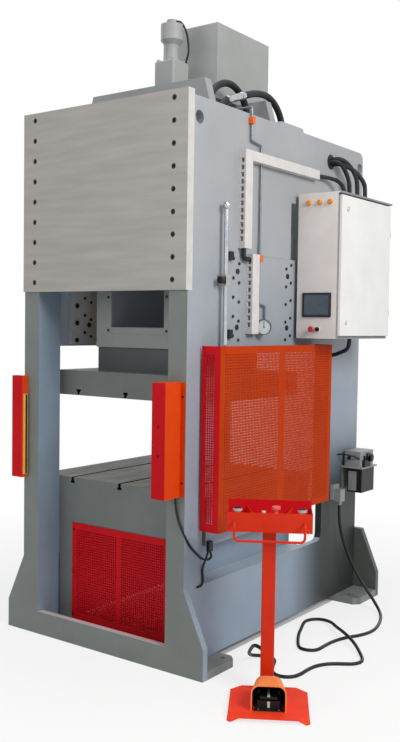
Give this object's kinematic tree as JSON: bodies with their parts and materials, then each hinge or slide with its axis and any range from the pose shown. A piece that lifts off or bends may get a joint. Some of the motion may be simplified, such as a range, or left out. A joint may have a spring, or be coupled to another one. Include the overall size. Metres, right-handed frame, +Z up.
{
  "type": "hydraulic press",
  "caption": "Straight-side hydraulic press with slotted bed and guided ram, top oil tank, sliding side guard, wall cabinet and a corded two-hand stand with foot switch.",
  "frame": {"origin": "on the floor, at the centre of the four outer anchor holes", "axes": "+Z up, +X to the right seen from the front, the front faces -Y"},
  "size_m": [2.4568, 2.5968, 4.116],
  "materials": {
    "frame_paint": "satin light grey paint",
    "ground_steel": "ground",
    "bed_steel": "ground top, plain sides",
    "guard_paint": "gloss orange-red paint",
    "chrome": "polished",
    "zinc_steel": "zinc plated",
    "black_steel": "blackened",
    "black_rubber": "matt",
    "black_plastic": "matt",
    "cabinet_paint": "textured light grey paint",
    "duct_plastic": "matt light grey",
    "lamp_amber": "translucent amber",
    "screen_plastic": "dark glossy front",
    "clamp_orange": "matt",
    "hood_orange": "moulded orange",
    "strip_yellow": "gloss",
    "button_red": "gloss",
    "button_black": "gloss",
    "bronze": "machined",
    "case_grey": "satin grey"
  },
  "bodies": {
    "frame": {"anchor_feet": "frame_paint", "bed_base": "frame_paint", "bed_plate": "bed_steel", "button_box": "guard_paint", "button_collars": "black_plastic", "cabinet_body": "cabinet_paint", "cable_ducts": "duct_plastic", "conduits": "black_plastic", "control_cables": "black_rubber", "cord_plug": "case_grey", "cord_socket": "case_grey", "cover_screws": "black_steel", "crown": "frame_paint", "crown_hoses": "black_rubber", "curtain_bars": "strip_yellow", "curtain_housings": "guard_paint", "cylinder_barrel": "ground_steel", "foot_hood": "hood_orange", "foot_switch": "black_plastic", "front_cover": "ground_steel", "front_portal": "frame_paint", "gauge_case": "black_steel", "gib_screws": "black_steel", "guide_blocks": "frame_paint", "hose_stubs": "zinc_steel", "lubricator": "case_grey", "mesh_door": "guard_paint", "oil_tank": "frame_paint", "operator_screen": "screen_plastic", "panel_screws": "zinc_steel", "pilot_lamps": "lamp_amber", "pipe_clamps": "clamp_orange", "pressure_pipe": "zinc_steel", "rear_portal": "frame_paint", "rod_clamp": "zinc_steel", "rubber_stops": "black_rubber", "side_plate_left": "frame_paint", "side_plate_right": "frame_paint", "stand_base": "guard_paint", "stand_cord": "black_rubber", "stand_post": "guard_paint", "valve_block": "ground_steel"},
    "ram": {"ram_body": "frame_paint", "ram_liners": "bronze", "platen": "frame_paint", "piston_rod": "chrome"},
    "guard": {"side_guard": "guard_paint", "guard_rod": "chrome"},
    "clamp_knob": {"clamp_knob": "black_plastic"},
    "gauge_needle": {"gauge_needle": "button_red"},
    "cabinet_door": {"cabinet_door": "cabinet_paint"},
    "lock_top": {"lock_top": "zinc_steel"},
    "lock_bottom": {"lock_bottom": "zinc_steel"},
    "cabinet_stop": {"cabinet_stop": "button_red"},
    "cabinet_selector": {"cabinet_selector": "button_black"},
    "palm_button_left": {"palm_button_left": "button_black"},
    "palm_button_right": {"palm_button_right": "button_black"},
    "start_button": {"start_button": "chrome"},
    "stand_stop": {"stand_stop": "button_red"},
    "foot_pedal": {"foot_pedal": "black_steel"}
  },
  "joints": [
    {"name": "ram_slide", "type": "slide", "parent": "frame", "child": "ram", "axis": [0, 0, -1], "range_m": [0, 0.5]},
    {"name": "guard_slide", "type": "slide", "parent": "frame", "child": "guard", "axis": [0, 0, -1], "range_m": [0, 0.38]},
    {"name": "clamp_knob_turn", "type": "hinge", "parent": "frame", "child": "clamp_knob", "pos_m": [0.722, -0.812, 2.344], "axis": [0, 1, 0], "range_deg": [0, 180]},
    {"name": "cabinet_door_hinge", "type": "hinge", "parent": "frame", "child": "cabinet_door", "pos_m": [1.014, 0.855, 2.48], "axis": [0, 0, 1], "range_deg": [0, 110]},
    {"name": "lock_top_turn", "type": "hinge", "parent": "cabinet_door", "child": "lock_top", "pos_m": [1.03, 0.166, 2.858], "axis": [1, 0, 0], "range_deg": [0, 90]},
    {"name": "lock_bottom_turn", "type": "hinge", "parent": "cabinet_door", "child": "lock_bottom", "pos_m": [1.03, 0.166, 2.104], "axis": [1, 0, 0], "range_deg": [0, 90]},
    {"name": "cabinet_stop_push", "type": "slide", "parent": "frame", "child": "cabinet_stop", "axis": [0, 1, 0], "range_m": [0, 0.005], "stiffness_N_per_m": 1500, "springref_m": -0.002},
    {"name": "cabinet_selector_turn", "type": "hinge", "parent": "frame", "child": "cabinet_selector", "pos_m": [0.87, 0.06, 2.056], "axis": [0, 1, 0], "range_deg": [-45, 45]},
    {"name": "palm_left_push", "type": "slide", "parent": "frame", "child": "palm_button_left", "axis": [0, 0, -1], "range_m": [0, 0.008], "stiffness_N_per_m": 2500, "springref_m": -0.003},
    {"name": "palm_right_push", "type": "slide", "parent": "frame", "child": "palm_button_right", "axis": [0, 0, -1], "range_m": [0, 0.008], "stiffness_N_per_m": 2500, "springref_m": -0.003},
    {"name": "start_button_push", "type": "slide", "parent": "frame", "child": "start_button", "axis": [0, 0, -1], "range_m": [0, 0.003], "stiffness_N_per_m": 2000, "springref_m": -0.003},
    {"name": "stand_stop_push", "type": "slide", "parent": "frame", "child": "stand_stop", "axis": [0, 0, -1], "range_m": [0, 0.005], "stiffness_N_per_m": 2500, "springref_m": -0.003},
    {"name": "foot_pedal_tilt", "type": "hinge", "parent": "frame", "child": "foot_pedal", "pos_m": [1.30435, -1.1821, 0.092], "axis": [0.8526, 0.5225, 0], "range_deg": [0, 6], "stiffness_Nm_per_rad": 60, "springref_deg": -3.44},
    {"name": "gauge_needle_turn", "type": "hinge", "parent": "frame", "child": "gauge_needle", "pos_m": [0.737, -0.393, 2.065], "axis": [0.766, -0.6428, 0], "range_deg": [-135, 135], "stiffness_Nm_per_rad": 0.05}
  ]
}
